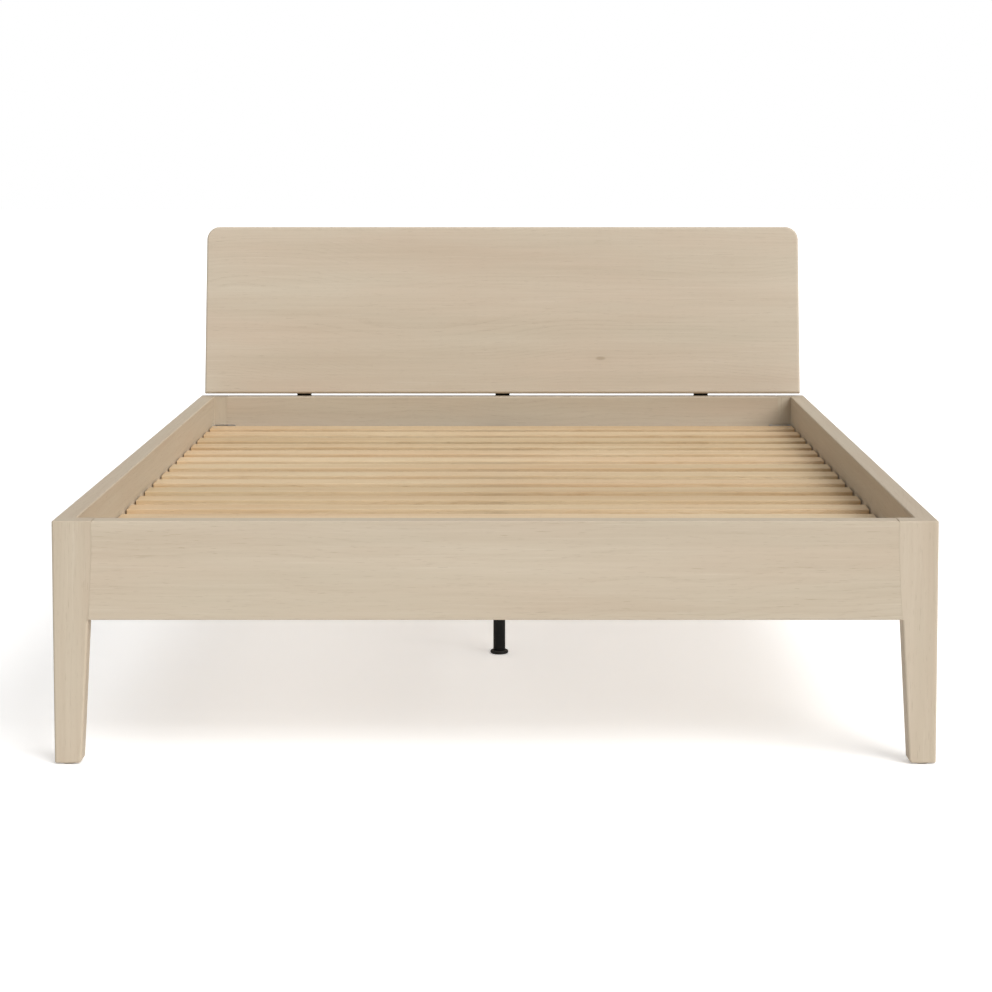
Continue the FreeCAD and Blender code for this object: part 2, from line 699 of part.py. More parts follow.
for side, x in webbing_xs.items():
    name = "webbing_" + side
    blank = box(name + "_blank", "webbing_width", "frame_length - 2 * slat_inset + 2 * webbing_tail",
                "webbing_thickness")
    place(blank, "%f - webbing_width / 2" % x, "foot_y + slat_inset - webbing_tail",
          "slat_top - slat_thickness - webbing_thickness")
    cut(name, blank, group(name + "_bores", [
        facing(through_hole(tack_size[0] + CLEARANCE), Vector(x, y, webbing_under), DOWN) for y in slat_ys]))

# ---------------------------------------------------------------- groups of fasteners

corners = [(end, sign) for end in ENDS for sign in SIDES.values()]
group("end_rail_dowels", [
    facing(dowel(end_dowel_radius, end_dowel_length), Vector(sign * taper_x(height), mid_y(end), height),
           Vector(1, 0, 0))
    for end, sign in corners for height in end_dowel_heights])
group("side_rail_dowels", [
    facing(dowel(side_dowel_radius, side_dowel_length),
           Vector(sign * (half_width - thickness / 2), inner_y(end), height), Vector(0, 1, 0))
    for end, sign in corners for height in side_dowel_heights])
corner_mouths = [(Vector(sign * corner_bolt_x, inner_y(end), height), Vector(0, INWARD[end], 0))
                 for end, sign in corners for height in corner_bolt_heights]
group("corner_inserts", [
    facing(threaded_insert(insert_radius, bolt_radius + CLEARANCE, insert_depth), *mouth)
    for mouth in corner_mouths])
group("corner_bolts", [
    facing(socket_bolt(bolt_radius, bolt_reach, *bolt_head), point + way * size("iron_thickness"), way)
    for point, way in corner_mouths])
group("corner_iron_screws", [
    facing(wood_screw(*screw), Vector(sign * (rail_x - size("iron_thickness")),
                                      ENDS[end] + (inset if end == "foot" else thickness - inset), height),
           Vector(-sign, 0, 0))
    for end, sign in corners for inset in iron_screw_insets for height in iron_screw_heights])
headboard_mouths = [(Vector(x, head_face, height), Vector(0, 1, 0))
                    for x in HEADBOARD_STRAPS.values() for height in strap_rail_heights]
headboard_mouths += [(mouth, panel_out) for mouth in panel_mouths]
group("headboard_inserts", [
    facing(threaded_insert(insert_radius, bolt_radius + CLEARANCE, insert_depth), *mouth)
    for mouth in headboard_mouths])
group("headboard_bolts", [
    facing(socket_bolt(bolt_radius, bolt_reach, *bolt_head), point + way * size("strap_thickness"), way)
    for point, way in headboard_mouths])
group("ledge_screws", [
    facing(wood_screw(*ledge_screw), Vector(sign * (rail_x - size("ledge_depth")), y,
                                            slat_bottom - size("ledge_height") / 2), Vector(-sign, 0, 0))
    for sign in SIDES.values() for y in ledge_screw_ys])
group("hanger_screws", [
    facing(wood_screw(*screw), Vector(x, inner_y(end) + INWARD[end] * size("hanger_plate"), height),
           Vector(0, INWARD[end], 0))
    for end in ENDS for x in (-hanger_bolt_x, hanger_bolt_x) for height in hanger_bolt_heights])
group("support_plate_bolts", [facing(socket_bolt(*plate_bolt), mouth, DOWN) for mouth in plate_mouths])
group("slat_screws", [
    facing(wood_screw(*screw), Vector(sign * slat_screw_x, y, size("slat_top")), UP)
    for sign in SIDES.values() for y in (slat_ys[0], slat_ys[-1])])
group("webbing_tacks", [facing(tack(*tack_size), Vector(x, y, webbing_under), DOWN)
                        for x in webbing_xs.values() for y in slat_ys])

# ---------------------------------------------------------------- checks and files

doc.recompute()
NODES = ["leg_%s_%s" % (end, side) for end in ENDS for side in SIDES]
NODES += ["foot_rail", "head_rail", "left_side_rail", "right_side_rail", "headboard"]
NODES += ["headboard_strap_" + side for side in HEADBOARD_STRAPS]
NODES += ["corner_iron_%s_%s" % (end, side) for end in ENDS for side in SIDES]
NODES += ["left_slat_ledge", "right_slat_ledge", "centre_beam", "beam_hanger_foot", "beam_hanger_head"]
NODES += ["support_plate", "support_stud", "support_tube", "tube_thread_plug", "support_foot_pad"]
NODES += ["glide_%s_%s" % (end, side) for end in ENDS for side in SIDES]
NODES += ["slat_%02d" % (number + 1) for number in range(slat_count)]
NODES += ["webbing_left", "webbing_right"]
NODES += ["end_rail_dowels", "side_rail_dowels", "corner_inserts", "corner_bolts", "corner_iron_screws"]
NODES += ["headboard_inserts", "headboard_bolts", "ledge_screws", "hanger_screws"]
NODES += ["support_plate_bolts", "slat_screws", "webbing_tacks"]

faults = [piece.Name for piece in doc.Objects if "Invalid" in piece.State or "Error" in piece.State]
if faults:
    raise RuntimeError("objects that did not compute: %s" % faults)
whole = FreeCAD.BoundBox()
for node in NODES:
    piece = doc.getObject(node)
    if piece is None or piece.Shape.isNull() or not piece.Shape.isValid():
        raise RuntimeError("no valid shape: %s" % node)
    whole.add(piece.Shape.BoundBox)
for node in NODES:
    doc.getObject(node).Shape.exportStep("parts/%s.step" % node)
print("%d nodes, %s" % (len(NODES), whole))
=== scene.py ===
import math

import bmesh
import bpy
from mathutils import Matrix, Vector


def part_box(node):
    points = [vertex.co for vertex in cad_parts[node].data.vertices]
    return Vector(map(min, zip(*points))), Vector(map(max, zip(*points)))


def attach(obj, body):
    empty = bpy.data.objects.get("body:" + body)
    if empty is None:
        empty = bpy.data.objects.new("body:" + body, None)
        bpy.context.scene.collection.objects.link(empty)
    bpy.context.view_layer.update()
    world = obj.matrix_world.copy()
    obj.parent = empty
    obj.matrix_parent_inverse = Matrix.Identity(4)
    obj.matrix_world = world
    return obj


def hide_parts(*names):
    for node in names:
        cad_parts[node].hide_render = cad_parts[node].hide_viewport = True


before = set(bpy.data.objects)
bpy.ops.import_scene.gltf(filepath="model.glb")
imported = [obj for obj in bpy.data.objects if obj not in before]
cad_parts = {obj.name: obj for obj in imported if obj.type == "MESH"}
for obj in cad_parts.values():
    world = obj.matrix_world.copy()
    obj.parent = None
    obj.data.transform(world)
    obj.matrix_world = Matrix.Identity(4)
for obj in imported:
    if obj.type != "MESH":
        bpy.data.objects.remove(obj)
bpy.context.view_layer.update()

# ---------------------------------------------------------------------------------------------
# Camera: it stands beyond the foot end, a little right of the middle and at chest height,
# and looks a few degrees down along the bed.

CAMERA_ASIDE = 0.0436
CAMERA_REACH = 4.371    # from the foot rail's front face
CAMERA_HEIGHT = 1.2189
LOOK_DOWN = math.radians(4.135)

camera_data = bpy.data.cameras.new("camera")
camera_data.lens = 83.7
camera_data.sensor_width = 36.0
camera_data.shift_x = -0.0221
camera_data.shift_y = -0.200
camera = bpy.data.objects.new("camera", camera_data)
camera.location = (CAMERA_ASIDE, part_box("foot_rail")[0].y - CAMERA_REACH, CAMERA_HEIGHT)
camera.rotation_euler = (math.radians(90.0) - LOOK_DOWN, 0.0, 0.0)
bpy.context.scene.collection.objects.link(camera)
bpy.context.scene.camera = camera

# ---------------------------------------------------------------------------------------------
# Studio: a pale seamless floor, lit a little from below like a light table, in a white surround. A
# broad key comes over the foot end from the right, and a broader light from above evens out the slats.

SURROUND_LIGHT = 0.26    # what the surround lights the bed with; it is seen as full white
FLOOR_GLOW = 0.30        # only seen, so it doesn't light the bed
FLOOR_HALF_SIZE = 30.0
LAMP_DISTANCE = 5.0

scene = bpy.context.scene
scene.view_settings.view_transform = "Standard"


def add_node(tree, kind, inputs=None, **settings):
    """Adds a shader node; inputs are values or the sockets that feed them."""
    node = tree.nodes.new(kind)
    for name, value in settings.items():
        setattr(node, name, value)
    for socket, source in (inputs or {}).items():
        if isinstance(source, bpy.types.NodeSocket):
            tree.links.new(source, node.inputs[socket])
        else:
            node.inputs[socket].default_value = source
    return node


def lit_or_seen(tree, lit, seen):
    """One value for the light that falls on the bed, another for what the camera sees."""
    ray = add_node(tree, "ShaderNodeLightPath").outputs["Is Camera Ray"]
    return add_node(tree, "ShaderNodeMapRange", {
        "Value": ray, "To Min": lit, "To Max": seen}).outputs["Result"]


surround = bpy.data.worlds.new("studio_surround")
surround.use_nodes = True
surround_tree = surround.node_tree
backdrop = surround_tree.nodes["Background"]
backdrop.inputs["Color"].default_value = (1.0, 1.0, 1.0, 1.0)
surround_tree.links.new(lit_or_seen(surround_tree, SURROUND_LIGHT, 1.0), backdrop.inputs["Strength"])
scene.world = surround


def broad_light(name, comes_from, spread, strength, tint):
    """A far, wide light, as from a bank of soft boxes, in the direction that it comes from."""
    lamp_data = bpy.data.lights.new(name, "SUN")
    lamp_data.angle = math.radians(spread)
    lamp_data.energy = strength
    lamp_data.color = tint
    lamp = bpy.data.objects.new(name, lamp_data)
    lamp.rotation_euler = (-Vector(comes_from)).to_track_quat("-Z", "Y").to_euler()
    lamp.location = Vector(comes_from) * LAMP_DISTANCE
    scene.collection.objects.link(lamp)


broad_light("key_light", (0.57, -0.62, 0.60), 40.0, 2.38, (1.0, 0.995, 0.985))
broad_light("top_light", (0.05, 0.10, 1.0), 80.0, 1.10, (1.0, 1.0, 1.0))

floor_mesh = bpy.data.meshes.new("studio_floor")
floor_shape = bmesh.new()
bmesh.ops.create_grid(floor_shape, x_segments=8, y_segments=8, size=FLOOR_HALF_SIZE)
floor_shape.to_mesh(floor_mesh)
floor_shape.free()
studio_floor = bpy.data.objects.new("studio_floor", floor_mesh)
scene.collection.objects.link(studio_floor)

floor_paint = bpy.data.materials.new("studio_floor_paint")
floor_paint.use_nodes = True
floor_tree = floor_paint.node_tree
floor_shader = floor_tree.nodes["Principled BSDF"]
floor_mottle = add_node(floor_tree, "ShaderNodeTexNoise", {
    "Vector": add_node(floor_tree, "ShaderNodeTexCoord").outputs["Object"], "Scale": 1.4, "Detail": 3.0})
floor_tone = add_node(floor_tree, "ShaderNodeMapRange", {
    "Value": floor_mottle.outputs["Fac"], "To Min": 0.955, "To Max": 0.975})
floor_tree.links.new(floor_tone.outputs["Result"], floor_shader.inputs["Base Color"])
floor_tree.links.new(lit_or_seen(floor_tree, 0.0, FLOOR_GLOW), floor_shader.inputs["Emission Strength"])
floor_shader.inputs["Emission Color"].default_value = (1.0, 1.0, 1.0, 1.0)
floor_shader.inputs["Roughness"].default_value = 0.85
floor_shader.inputs["Specular IOR Level"].default_value = 0.1
floor_mesh.materials.append(floor_paint)

# ---------------------------------------------------------------------------------------------
# Oak boards: legs, rails and headboard are solid white oak, planed, limed to a pale straw and
# matt lacquered. Each board has its own figure: flat-sawn rings, fine streaks and open pores.

LIMED_OAK = {"Early Wood": (0.580, 0.495, 0.383, 1.0), "Late Wood": (0.492, 0.405, 0.298, 1.0),
             "Pore": (0.330, 0.250, 0.165, 1.0), "Pale Streak": (0.630, 0.560, 0.460, 1.0)}
HEADBOARD_OAK = {"Early Wood": (0.618, 0.533, 0.423, 1.0), "Late Wood": (0.526, 0.441, 0.334, 1.0),
                 "Pore": (0.350, 0.268, 0.180, 1.0), "Pale Streak": (0.660, 0.590, 0.495, 1.0)}

# metres: how far the rings' centre wanders sideways, how deep they ripple, how wide the polished edge with
# its painted shade is
PITH_WANDER = 0.26
RING_RIPPLE = 0.010
EDGE_WIDTH = 0.007

# how much of the late wood's colour each effect brings in, how dark pores are, and how much painted shade
# darkens the edges
BAND_SHARE = 0.50
STREAK_SHARE = 0.36
RING_SHARE = 0.26
FIBRE_SHARE = 0.22
PORE_SHARE = 0.52
EDGE_SHADE_SHARE = 0.40

# shift of the grain along, across and through the board for each whole step of its seed
SEED_STEPS = {"X": 3.17, "Y": 1.31, "Z": 0.73}


def new_group(name, inputs, outputs):
    """A shader node group with named sockets."""
    group = bpy.data.node_groups.new(name, "ShaderNodeTree")
    for socket, kind, default in inputs:
        made = group.interface.new_socket(name=socket, in_out="INPUT", socket_type=kind)
        if default is not None:
            made.default_value = default
    for socket, kind in outputs:
        group.interface.new_socket(name=socket, in_out="OUTPUT", socket_type=kind)
    return group, group.nodes.new("NodeGroupInput"), group.nodes.new("NodeGroupOutput")


def sums(tree, operation, *values, clamp=False):
    """A Math node over values or sockets; gives its output socket."""
    node = add_node(tree, "ShaderNodeMath", dict(enumerate(values)), operation=operation, use_clamp=clamp)
    return node.outputs[0]


def weigh(tree, *terms):
    """Adds up values, each multiplied by its weight."""
    total = 0.0
    for value, weight in terms:
        total = sums(tree, "MULTIPLY_ADD", value, weight, total)
    return total


def swing(tree, noise, reach):
    """Noise turned into a shift of up to half of reach either way."""
    return sums(tree, "MULTIPLY", sums(tree, "SUBTRACT", noise, 0.5), reach)


def stretched_noise(tree, place, scale, detail, roughness=0.55, distortion=0.0):
    """Noise drawn out along the grain; scale is features per metre on each board axis."""
    spread = add_node(tree, "ShaderNodeVectorMath", {0: place, 1: scale}, operation="MULTIPLY")
    noise = add_node(tree, "ShaderNodeTexNoise", {
        "Vector": spread.outputs[0], "Scale": 1.0, "Detail": detail, "Roughness": roughness,
        "Distortion": distortion})
    return noise.outputs["Fac"]


def remap(tree, value, low, high, to_low=0.0, to_high=1.0, smooth=False):
    """Stretches the range low to high onto another one, with soft ends if smooth."""
    node = add_node(tree, "ShaderNodeMapRange", {
        "Value": value, "From Min": low, "From Max": high, "To Min": to_low, "To Max": to_high})
    if smooth:
        node.interpolation_type = "SMOOTHSTEP"
    return node.outputs["Result"]


def blend_colour(tree, share, first, second):
    """The first colour with a share of the second mixed in."""
    node = add_node(tree, "ShaderNodeMix", {}, data_type="RGBA")
    for number, source in ((0, share), (6, first), (7, second)):
        if isinstance(source, bpy.types.NodeSocket):
            tree.links.new(source, node.inputs[number])
        else:
            node.inputs[number].default_value = source
    return node.outputs[2]


def make_wood_figure():
    """Grain of a planed board. Board runs along X, its face is in X and Y, its thickness is Z."""
    group, given, result = new_group("wood_figure", [
        ("Board", "NodeSocketVector", None),
        ("Seed", "NodeSocketFloat", 0.0),
        ("Ring Spacing", "NodeSocketFloat", 0.006),
        ("Pith Depth", "NodeSocketFloat", 0.09),
        ("Knots", "NodeSocketFloat", 0.5),
        *((name, "NodeSocketColor", colour) for name, colour in LIMED_OAK.items()),
    ], [
        ("Color", "NodeSocketColor"),
        ("Roughness", "NodeSocketFloat"),
        ("Height", "NodeSocketFloat"),
    ])
    board, late_wood, pore = (given.outputs[name] for name in ("Board", "Late Wood", "Pore"))
    seed_shift = add_node(group, "ShaderNodeCombineXYZ", {
        axis: sums(group, "MULTIPLY", given.outputs["Seed"], step) for axis, step in SEED_STEPS.items()})
    place = add_node(group, "ShaderNodeVectorMath", {
        0: board, 1: seed_shift.outputs[0]}, operation="ADD").outputs[0]

    def grain_noise(along, across, detail, roughness=0.55):
        """Noise in features per metre along and across the grain."""
        return stretched_noise(group, place, (along, across, across), detail, roughness)

    # rings: distance from a pith that runs under the board and wanders slowly along it
    parts = add_node(group, "ShaderNodeSeparateXYZ", {0: board})
    side = sums(group, "ADD", parts.outputs["Y"], swing(group, grain_noise(0.9, 1.6, 2.0), PITH_WANDER))
    depth = sums(group, "ADD", parts.outputs["Z"], given.outputs["Pith Depth"])
    depth = sums(group, "ADD", depth, swing(group, grain_noise(3.5, 18.0, 3.0), RING_RIPPLE))
    radius = sums(group, "SQRT", weigh(group, (side, side), (depth, depth)))
    ring = sums(group, "FRACT", sums(group, "DIVIDE", radius, given.outputs["Ring Spacing"]))
    ring_edge = remap(group, ring, 0.55, 0.98, smooth=True)
    ring_end = remap(group, ring, 0.98, 1.0, 1.0, 0.0)
    ring_choice = remap(group, grain_noise(1.2, 22.0, 2.0), 0.35, 0.7)
    late = sums(group, "MULTIPLY", sums(group, "MULTIPLY", ring_edge, ring_end), ring_choice)

    # broad bands of tone and finer streaks along the grain
    bands = grain_noise(0.8, 17.0, 3.0)
    streaks = grain_noise(2.6, 120.0, 5.0, 0.6)
    fibres = grain_noise(14.0, 900.0, 2.0)
    tone = weigh(group, (remap(group, bands, 0.3, 0.7), BAND_SHARE), (late, RING_SHARE),
                 (remap(group, streaks, 0.3, 0.7), STREAK_SHARE))
    tone = sums(group, "ADD", tone, swing(group, fibres, FIBRE_SHARE), clamp=True)
    body = blend_colour(group, tone, given.outputs["Early Wood"], late_wood)
    drift = grain_noise(1.7, 9.0, 3.0)
    body = add_node(group, "ShaderNodeHueSaturation", {
        "Hue": remap(group, drift, 0.3, 0.7, 0.494, 0.505),
        "Saturation": remap(group, drift, 0.3, 0.7, 1.06, 0.94), "Color": body}).outputs["Color"]

    # pale rays and lime left in the grain
    pale = remap(group, grain_noise(5.0, 260.0, 2.0), 0.60, 0.74, 0.0, 0.30, smooth=True)
    body = blend_colour(group, pale, body, given.outputs["Pale Streak"])

    # open pores: short fine dashes, thicker where the rings turn dark
    pore_limit = sums(group, "SUBTRACT", 0.690, sums(group, "MULTIPLY", late, 0.08))
    pores = sums(group, "SUBTRACT", grain_noise(34.0, 1250.0, 1.0), pore_limit)
    pores = sums(group, "MULTIPLY", pores, 18.0, clamp=True)
    dashes = remap(group, grain_noise(15.0, 420.0, 1.0), 0.735, 0.79, 0.0, 0.75, smooth=True)
    pits = sums(group, "MAXIMUM", pores, dashes)
    body = blend_colour(group, sums(group, "MULTIPLY", pits, PORE_SHARE), body, pore)

    # a few pin knots with the grain darkened beside them
    knot_place = add_node(group, "ShaderNodeVectorMath", {
        0: place, 1: (1.6, 4.2, 4.2)}, operation="MULTIPLY").outputs[0]
    knot_reach = add_node(group, "ShaderNodeTexVoronoi", {
        "Vector": knot_place, "Scale": 1.0, "Randomness": 1.0}).outputs["Distance"]
    for near, far, strength, colour in ((0.02, 0.10, 0.45, late_wood), (0.012, 0.03, 1.0, pore)):
        knot = remap(group, knot_reach, near, far, strength, 0.0, smooth=True)
        body = blend_colour(group, sums(group, "MULTIPLY", knot, given.outputs["Knots"]), body, colour)

    roughness = sums(group, "ADD", weigh(group, (pits, 0.22), (streaks, 0.10)), 0.46)
    height = weigh(group, (fibres, 0.25), (pits, -1.0), (late, -0.20))
    for name, source in (("Color", body), ("Roughness", roughness), ("Height", height)):
        group.links.new(source, result.inputs[name])
    return group


def make_edge_wear_and_shade():
    """Mask along a board's long and short edges, from how near a point is to two faces at once; it places
    painted shade and polish along them.
    """
    group, given, result = new_group("edge_wear_and_shade", [
        ("Board", "NodeSocketVector", None),
        ("Half Size", "NodeSocketVector", None),
        ("Width", "NodeSocketFloat", EDGE_WIDTH),
    ], [("Mask", "NodeSocketFloat")])
    reach = add_node(group, "ShaderNodeVectorMath", {0: given.outputs["Board"]}, operation="ABSOLUTE")
    room = add_node(group, "ShaderNodeVectorMath", {
        0: given.outputs["Half Size"], 1: reach.outputs[0]}, operation="SUBTRACT")
    parts = add_node(group, "ShaderNodeSeparateXYZ", {0: room.outputs[0]})
    lower = sums(group, "MINIMUM", parts.outputs["X"], parts.outputs["Y"])
    upper = sums(group, "MAXIMUM", parts.outputs["X"], parts.outputs["Y"])
    second = sums(group, "MAXIMUM", lower, sums(group, "MINIMUM", upper, parts.outputs["Z"]))
    ragged = stretched_noise(group, given.outputs["Board"], (9.0, 60.0, 60.0), 3.0)
    limit = sums(group, "MULTIPLY", given.outputs["Width"], remap(group, ragged, 0.3, 0.75, 0.15, 1.3))
    mask = sums(group, "SUBTRACT", 1.0, sums(group, "DIVIDE", second, limit), clamp=True)
    group.links.new(mask, result.inputs["Mask"])
    return group


wood_figure = make_wood_figure()
edge_wear_and_shade = make_edge_wear_and_shade()

# from the bed's axes to a board's: its length becomes X, its face Y and its thickness Z
GRAIN_TURN = {"X": Matrix(((1, 0, 0), (0, 0, 1), (0, -1, 0))),
              "Y": Matrix(((0, 1, 0), (0, 0, 1), (1, 0, 0))),
              "Z": Matrix(((0, 0, 1), (1, 0, 0), (0, 1, 0)))}
BOARD_AXES = {"X": (0, 2, 1), "Y": (1, 2, 0), "Z": (2, 0, 1)}


def board_coordinates(tree, middle, grain, tilt):
    """The bed's coordinates, turned to a board's own and counted from its middle."""
    turn = GRAIN_TURN[grain] @ Matrix.Rotation(tilt, 3, "X")
    return add_node(tree, "ShaderNodeMapping", {
        "Vector": add_node(tree, "ShaderNodeTexCoord").outputs["Object"],
        "Location": -(turn @ middle), "Rotation": turn.to_euler()}, vector_type="POINT").outputs[0]


def new_material(name):
    """A material with its node tree and its Principled shader."""
    material = bpy.data.materials.new(name)
    material.use_nodes = True
    return material, material.node_tree, material.node_tree.nodes["Principled BSDF"]


def join_relief(tree, shader, height, strength, distance):
    """Feeds a height in metres to the shader's normal."""
    relief = add_node(tree, "ShaderNodeBump", {"Height": height, "Strength": strength, "Distance": distance})
    tree.links.new(relief.outputs["Normal"], shader.inputs["Normal"])


def dress(node, material):
    """Gives a CAD piece its material in every slot."""
    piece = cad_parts[node]
    if not piece.material_slots:
        piece.data.materials.append(material)
    for slot in piece.material_slots:
        slot.material = material


def dress_board(node, wood, colours, grain, seed, ring, pith, knots, gloss, bump, tilt=0.0, half=None):
    """Gives a board its own wood: the shared figure, edges polished and darkened with painted shade, and, if
    glossy, a lacquer.
    """
    material, tree, shader = new_material(wood + "_" + node)
    low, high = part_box(node)
    board = board_coordinates(tree, (low + high) / 2.0, grain, tilt)
    figure = add_node(tree, "ShaderNodeGroup", {}, node_tree=wood_figure)
    tree.links.new(board, figure.inputs["Board"])
    figure_values = {"Seed": seed, "Ring Spacing": ring, "Pith Depth": pith, "Knots": knots, **colours}
    for socket, value in figure_values.items():
        figure.inputs[socket].default_value = value
    edge_mask = add_node(tree, "ShaderNodeGroup", {}, node_tree=edge_wear_and_shade)
    tree.links.new(board, edge_mask.inputs["Board"])
    edge_mask.inputs["Half Size"].default_value = half or [
        (high[axis] - low[axis]) / 2.0 for axis in BOARD_AXES[grain]]
    edge_mask.inputs["Width"].default_value = EDGE_WIDTH
    # painted shade: every edge of the board is darkened towards the late wood's colour
    edge_shaded = blend_colour(tree, sums(tree, "MULTIPLY", edge_mask.outputs["Mask"], EDGE_SHADE_SHARE),
                        figure.outputs["Color"], colours["Late Wood"])
    tree.links.new(edge_shaded, shader.inputs["Base Color"])
    polish = weigh(tree, (figure.outputs["Roughness"], 1.0), (edge_mask.outputs["Mask"], -0.08))
    tree.links.new(polish, shader.inputs["Roughness"])
    join_relief(tree, shader, figure.outputs["Height"], bump, 0.00025)
    shader.inputs["Specular IOR Level"].default_value = 0.42
    shader.inputs["Coat Weight"].default_value = gloss
    shader.inputs["Coat Roughness"].default_value = 0.38
    dress(node, material)


# grain direction, seed, ring spacing, pith depth and strength of the knots
OAK_BOARDS = {
    "foot_rail": ("X", 4.1, 0.0062, 0.075, 0.55),
    "head_rail": ("X", 9.4, 0.0058, 0.085, 0.45),
    "left_side_rail": ("Y", 13.7, 0.0060, 0.080, 0.50),
    "right_side_rail": ("Y", 17.2, 0.0064, 0.070, 0.50),
    "leg_foot_left": ("Z", 21.3, 0.0045, 0.140, 0.0),
    "leg_foot_right": ("Z", 25.9, 0.0048, 0.150, 0.0),
    "leg_head_left": ("Z", 29.5, 0.0045, 0.130, 0.2),
    "leg_head_right": ("Z", 33.8, 0.0047, 0.145, 0.0),
}
LACQUER = {"gloss": 0.12, "bump": 0.5}
for node, figure_of_board in OAK_BOARDS.items():
    dress_board(node, "oak", LIMED_OAK, *figure_of_board, **LACQUER)

HEADBOARD_LEAN = math.radians(10.3)
PANEL_HALF_HEIGHT = 0.2362
PANEL_HALF_THICKNESS = 0.014
panel_low, panel_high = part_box("headboard")
dress_board("headboard", "oak", HEADBOARD_OAK, "X", 38.6, 0.0070, 0.095, 0.6, **LACQUER, tilt=HEADBOARD_LEAN,
            half=[(panel_high.x - panel_low.x) / 2.0, PANEL_HALF_HEIGHT, PANEL_HALF_THICKNESS])

# ---------------------------------------------------------------------------------------------
# Slats and ledges: planed pine, left untreated. The slats lie across the bed on two battens
# screwed to the side rails, each slat cut from its own board.

PINE = {"Early Wood": (0.720, 0.570, 0.375, 1.0), "Late Wood": (0.520, 0.345, 0.180, 1.0),
        "Pore": (0.260, 0.140, 0.065, 1.0), "Pale Streak": (0.780, 0.660, 0.480, 1.0)}
PINE_SHADES = (1.00, 0.94, 1.04, 0.97, 0.90, 1.02, 0.95)
PLANED = {"gloss": 0.0, "bump": 0.4}


def shaded(colours, share):
    """The same wood, a little lighter or darker, and yellower as it darkens."""
    return {name: (red * share, green * share, blue * share ** 1.3, 1.0)
            for name, (red, green, blue, _) in colours.items()}


slat_names = sorted(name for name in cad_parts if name.startswith("slat_") and name != "slat_screws")
for number, node in enumerate(slat_names):
    shade = PINE_SHADES[number * 3 % len(PINE_SHADES)]
    slat_seed = 50.0 + 2.9 * number
    slat_ring = 0.0034 + 0.0003 * (number % 4)
    slat_pith = 0.03 + 0.012 * (number % 5)
    dress_board(node, "pine", shaded(PINE, shade), "X", slat_seed, slat_ring, slat_pith, 1.0, **PLANED)
for node, ledge_seed in (("left_slat_ledge", 91.0), ("right_slat_ledge", 95.3)):
    dress_board(node, "pine", PINE, "Y", ledge_seed, 0.0036, 0.05, 0.8, **PLANED)

# ---------------------------------------------------------------------------------------------
# Black steel: the centre beam, its hangers, the headboard straps and the support leg are mild
# steel with a fine-textured black powder coat, rubbed a little paler in places.

COAT_BLACK = (0.0060, 0.0064, 0.0070, 1.0)
COAT_RUBBED = (0.026, 0.027, 0.029, 1.0)


def make_powder_coat():
    """Fine orange peel of a powder coat, with scuffs and a drift of dust on it."""
    group, given, result = new_group("powder_coat", [
        ("Place", "NodeSocketVector", None),
        ("Base", "NodeSocketColor", COAT_BLACK),
        ("Rubbed", "NodeSocketColor", COAT_RUBBED),
    ], [
        ("Color", "NodeSocketColor"),
        ("Roughness", "NodeSocketFloat"),
        ("Height", "NodeSocketFloat"),
    ])
    place = given.outputs["Place"]
    grit = stretched_noise(group, place, (1500.0, 1500.0, 1500.0), 2.0)
    drift = stretched_noise(group, place, (14.0, 14.0, 14.0), 4.0)
    scuffs = stretched_noise(group, place, (55.0, 240.0, 90.0), 3.0, 0.6, 0.4)
    scuffs = remap(group, scuffs, 0.66, 0.75, 0.0, 0.5, smooth=True)
    share = sums(group, "ADD", remap(group, drift, 0.35, 0.8, 0.0, 0.3), scuffs, clamp=True)
    colour = blend_colour(group, share, given.outputs["Base"], given.outputs["Rubbed"])
    roughness = sums(group, "MULTIPLY_ADD", drift, 0.22, 0.40)
    for name, source in (("Color", colour), ("Roughness", roughness), ("Height", grit)):
        group.links.new(source, result.inputs[name])
    return group


powder_coat = make_powder_coat()


def coated_material(name, base, rubbed, specular, peel):
    """A powder coat or a moulded plastic, by its colours and the depth of its texture."""
    material, tree, shader = new_material(name)
    coat = add_node(tree, "ShaderNodeGroup", {}, node_tree=powder_coat)
    tree.links.new(add_node(tree, "ShaderNodeTexCoord").outputs["Object"], coat.inputs["Place"])
    coat.inputs["Base"].default_value = base
    coat.inputs["Rubbed"].default_value = rubbed
    tree.links.new(coat.outputs["Color"], shader.inputs["Base Color"])
    tree.links.new(coat.outputs["Roughness"], shader.inputs["Roughness"])
    join_relief(tree, shader, coat.outputs["Height"], 0.35, peel)
    shader.inputs["Specular IOR Level"].default_value = specular
    return material


black_coat = coated_material("black_powder_coat", COAT_BLACK, COAT_RUBBED, 0.28, 0.0002)
for node in ("centre_beam", "beam_hanger_foot", "beam_hanger_head", "support_plate", "support_tube",
             "headboard_strap_left", "headboard_strap_middle", "headboard_strap_right"):
    dress(node, black_coat)

# ---------------------------------------------------------------------------------------------
# Moulded nylon: the black foot pad and the threaded plug of the support leg, and the four beige
# glides nailed under the legs.

BLACK_NYLON = (0.012, 0.012, 0.0125, 1.0)
BLACK_NYLON_RUBBED = (0.035, 0.035, 0.036, 1.0)
BEIGE_NYLON = (0.46, 0.41, 0.34, 1.0)
BEIGE_NYLON_SOILED = (0.30, 0.27, 0.22, 1.0)

black_nylon = coated_material("black_moulded_nylon", BLACK_NYLON, BLACK_NYLON_RUBBED, 0.4, 0.0001)
beige_nylon = coated_material("beige_moulded_nylon", BEIGE_NYLON, BEIGE_NYLON_SOILED, 0.4, 0.0001)
for node in ("support_foot_pad", "tube_thread_plug"):
    dress(node, black_nylon)
for node in ("glide_foot_left", "glide_foot_right", "glide_head_left", "glide_head_right"):
    dress(node, beige_nylon)

